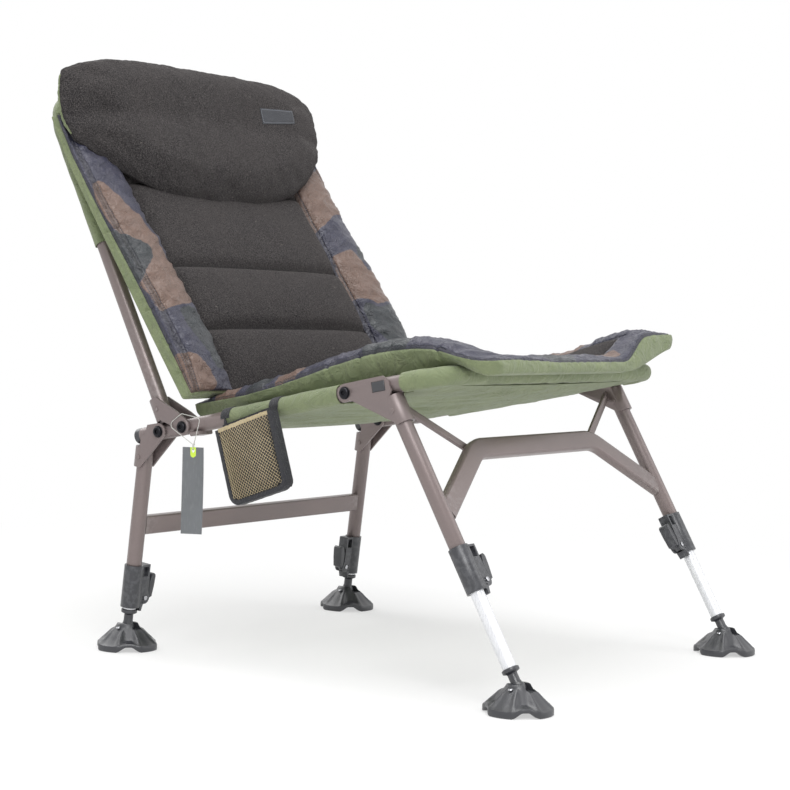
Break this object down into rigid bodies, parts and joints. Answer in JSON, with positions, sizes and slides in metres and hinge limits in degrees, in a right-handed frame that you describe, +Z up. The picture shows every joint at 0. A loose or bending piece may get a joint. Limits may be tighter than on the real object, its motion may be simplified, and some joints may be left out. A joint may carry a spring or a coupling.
{
  "type": "folding fishing chair",
  "caption": "Low folding fishing chair: tilted tube frame with padded seat and high padded back, head pillow, telescopic legs on wide swivelling feet, and a net side pocket.",
  "frame": {"origin": "on the ground, under the middle of the box round the chair", "axes": "+Z up, the sitter faces -Y, +X is the sitter's left"},
  "size_m": [0.682, 0.8948, 0.8612],
  "materials": {
    "frame_paint": "satin grey-brown paint",
    "dark_plastic": "moulded, fine matt",
    "bolt_black": "black coated",
    "bright_pin": "bright",
    "inner_leg": "pale, anodised",
    "green_cloth": "woven cloth",
    "camo_cloth": "printed coated cloth, padded",
    "fleece": "brushed fleece, padded",
    "black_cloth": "woven cloth and binding",
    "net": "open net",
    "card": "printed card, left blank",
    "string": "thin string",
    "label": "woven patch, left blank"
  },
  "bodies": {
    "seat": {"back_pivot_bolt_right": "bolt_black", "back_pivot_bolt_left": "bolt_black", "rear_pivot_bolt_right": "bolt_black", "rear_pivot_bolt_left": "bolt_black", "front_pivot_bolt_right": "bolt_black", "front_pivot_bolt_left": "bolt_black", "seat_frame_tube": "frame_paint", "rail_end_cap_right": "dark_plastic", "rail_end_cap_left": "dark_plastic", "seat_sling": "green_cloth", "seat_pad": "camo_cloth", "pocket_back": "black_cloth", "pocket_mesh": "net"},
    "backrest": {"back_bracket_right": "frame_paint", "back_bracket_left": "frame_paint", "back_frame_tube": "frame_paint", "back_sling": "green_cloth", "head_pillow": "fleece", "head_label": "label", "back_pad": "camo_cloth"},
    "rear_legs": {"rear_bracket_right": "frame_paint", "rear_leg_tube_right": "frame_paint", "lock_sleeve_rear_right": "dark_plastic", "lever_pin_rear_right": "bright_pin", "rear_bracket_left": "frame_paint", "rear_leg_tube_left": "frame_paint", "lock_sleeve_rear_left": "dark_plastic", "lever_pin_rear_left": "bright_pin", "rear_cross_bar": "frame_paint"},
    "front_legs": {"front_bracket_right": "frame_paint", "front_leg_tube_right": "frame_paint", "stop_block_right": "dark_plastic", "lock_sleeve_front_right": "dark_plastic", "lever_pin_front_right": "bright_pin", "front_bracket_left": "frame_paint", "front_leg_tube_left": "frame_paint", "stop_block_left": "dark_plastic", "lock_sleeve_front_left": "dark_plastic", "lever_pin_front_left": "bright_pin", "front_arch": "frame_paint", "front_strut_right": "frame_paint", "front_strut_left": "frame_paint"},
    "hanging_tag": {"hang_tag": "card", "tag_string": "string"},
    "rear_inner_leg_right": {"inner_leg_rear_right": "inner_leg", "ball_fitting_rear_right": "dark_plastic"},
    "rear_foot_right": {"mud_foot_rear_right": "dark_plastic"},
    "rear_lever_right": {"lock_lever_rear_right": "dark_plastic"},
    "rear_inner_leg_left": {"inner_leg_rear_left": "inner_leg", "ball_fitting_rear_left": "dark_plastic"},
    "rear_foot_left": {"mud_foot_rear_left": "dark_plastic"},
    "rear_lever_left": {"lock_lever_rear_left": "dark_plastic"},
    "front_inner_leg_right": {"inner_leg_front_right": "inner_leg", "ball_fitting_front_right": "dark_plastic"},
    "front_foot_right": {"mud_foot_front_right": "dark_plastic"},
    "front_lever_right": {"lock_lever_front_right": "dark_plastic"},
    "front_inner_leg_left": {"inner_leg_front_left": "inner_leg", "ball_fitting_front_left": "dark_plastic"},
    "front_foot_left": {"mud_foot_front_left": "dark_plastic"},
    "front_lever_left": {"lock_lever_front_left": "dark_plastic"}
  },
  "joints": [
    {"name": "back_fold", "type": "hinge", "parent": "seat", "child": "backrest", "pos_m": [0, 0.1569, 0.32334], "axis": [1, 0, 0], "range_deg": [0, 80], "deforming": ["back_pad"]},
    {"name": "rear_leg_fold", "type": "hinge", "parent": "seat", "child": "rear_legs", "pos_m": [0, 0.20002, 0.31457], "axis": [-1, 0, 0], "range_deg": [0, 100]},
    {"name": "front_leg_fold", "type": "hinge", "parent": "seat", "child": "front_legs", "pos_m": [0, -0.14051, 0.38385], "axis": [1, 0, 0], "range_deg": [0, 62]},
    {"name": "leg_slide_rear_right", "type": "slide", "parent": "rear_legs", "child": "rear_inner_leg_right", "axis": [0, -0.1115, 0.9938], "range_m": [-0.11, 0]},
    {"name": "foot_tilt_rear_right", "type": "hinge", "parent": "rear_inner_leg_right", "child": "rear_foot_right", "pos_m": [-0.269, 0.26353, 0.03], "axis": [1, 0, 0], "range_deg": [-20, 20]},
    {"name": "lever_rear_right", "type": "hinge", "parent": "rear_legs", "child": "rear_lever_right", "pos_m": [-0.2465, 0.25882, 0.07201], "axis": [0, 0.9938, 0.1115], "range_deg": [0, 85]},
    {"name": "leg_slide_rear_left", "type": "slide", "parent": "rear_legs", "child": "rear_inner_leg_left", "axis": [0, -0.1115, 0.9938], "range_m": [-0.11, 0]},
    {"name": "foot_tilt_rear_left", "type": "hinge", "parent": "rear_inner_leg_left", "child": "rear_foot_left", "pos_m": [0.269, 0.26353, 0.03], "axis": [1, 0, 0], "range_deg": [-20, 20]},
    {"name": "lever_rear_left", "type": "hinge", "parent": "rear_legs", "child": "rear_lever_left", "pos_m": [0.2465, 0.25882, 0.07201], "axis": [0, -0.9938, -0.1115], "range_deg": [0, 85]},
    {"name": "leg_slide_front_right", "type": "slide", "parent": "front_legs", "child": "front_inner_leg_right", "axis": [0, 0.4924, 0.8704], "range_m": [-0.095, 0.04]},
    {"name": "foot_tilt_front_right", "type": "hinge", "parent": "front_inner_leg_right", "child": "front_foot_right", "pos_m": [-0.296, -0.40459, 0.03], "axis": [1, 0, 0], "range_deg": [-20, 20]},
    {"name": "lever_front_right", "type": "hinge", "parent": "front_legs", "child": "front_lever_right", "pos_m": [-0.2735, -0.33461, 0.15369], "axis": [0, 0.8704, -0.4924], "range_deg": [0, 85]},
    {"name": "leg_slide_front_left", "type": "slide", "parent": "front_legs", "child": "front_inner_leg_left", "axis": [0, 0.4924, 0.8704], "range_m": [-0.095, 0.04]},
    {"name": "foot_tilt_front_left", "type": "hinge", "parent": "front_inner_leg_left", "child": "front_foot_left", "pos_m": [0.296, -0.40459, 0.03], "axis": [1, 0, 0], "range_deg": [-20, 20]},
    {"name": "lever_front_left", "type": "hinge", "parent": "front_legs", "child": "front_lever_left", "pos_m": [0.2735, -0.33461, 0.15369], "axis": [0, -0.8704, 0.4924], "range_deg": [0, 85]},
    {"name": "tag_swing", "type": "hinge", "parent": "seat", "child": "hanging_tag", "pos_m": [-0.269, 0.1569, 0.32334], "axis": [1, 0, 0], "range_deg": [-12, 12]}
  ]
}
